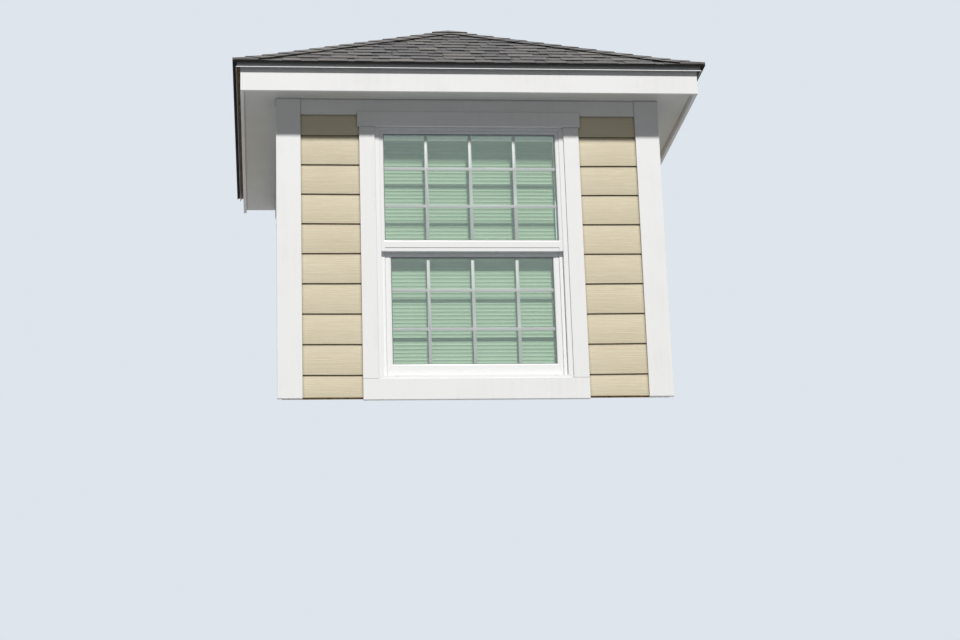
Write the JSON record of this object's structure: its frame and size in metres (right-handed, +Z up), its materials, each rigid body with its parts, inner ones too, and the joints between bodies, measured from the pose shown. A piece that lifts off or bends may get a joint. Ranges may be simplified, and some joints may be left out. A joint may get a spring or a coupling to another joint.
{
  "type": "hipped roof dormer with window",
  "caption": "Hollow house dormer with a hipped shingle roof, boxed eaves, lap siding, corner boards and a cased single-hung window, cut to sit on a sloping roof.",
  "frame": {"origin": "middle of the front wall's underside, on the slope of the roof that carries it", "axes": "+X to the right seen from the front, +Y back into the roof, +Z up; the seat plane is z = y * 11 / 12"},
  "size_m": [2.714, 3.2282, 2.7198],
  "materials": {
    "trim_paint": "satin white paint on boards",
    "siding_paint": "flat tan paint on wood-grained fibre-cement boards",
    "soffit_paint": "flat white paint",
    "drip_metal": "white coated sheet metal",
    "shingle": "charcoal mineral granules on asphalt",
    "deck_board": "bare strand board",
    "wall_board": "bare strand board and painted plasterboard inside",
    "timber": "bare sawn softwood",
    "plaster": "flat off-white paint on plasterboard",
    "window_vinyl": "white extruded plastic",
    "window_glass": "clear sealed double glazing with a faint green tint",
    "blind": "satin off-white slats"
  },
  "bodies": {
    "root": {"front_wall": "wall_board", "left_wall": "wall_board", "right_wall": "wall_board", "ceiling": "plaster", "front_siding_left": "siding_paint", "front_siding_right": "siding_paint", "left_siding": "siding_paint", "right_siding": "siding_paint", "front_corner_board_left": "trim_paint", "front_corner_board_right": "trim_paint", "side_corner_board_left": "trim_paint", "side_corner_board_right": "trim_paint", "front_frieze": "trim_paint", "side_friezes": "trim_paint", "head_casing": "trim_paint", "left_casing": "trim_paint", "right_casing": "trim_paint", "bottom_casing": "trim_paint", "window_frame": "window_vinyl", "upper_sash": "window_vinyl", "lower_sash": "window_vinyl", "upper_glass": "window_glass", "lower_glass": "window_glass", "window_liner": "trim_paint", "blind_headrail": "blind", "blind_slats": "blind", "front_soffit": "soffit_paint", "left_soffit": "soffit_paint", "right_soffit": "soffit_paint", "front_fascia": "trim_paint", "left_fascia": "trim_paint", "right_fascia": "trim_paint", "drip_edge": "drip_metal", "front_deck": "deck_board", "left_deck": "deck_board", "right_deck": "deck_board", "front_shingles": "shingle", "left_shingles": "shingle", "right_shingles": "shingle", "roof_caps": "shingle", "ridge_board": "timber", "hip_rafters": "timber", "front_rafters": "timber", "left_rafters": "timber", "right_rafters": "timber"}
  },
  "joints": []
}
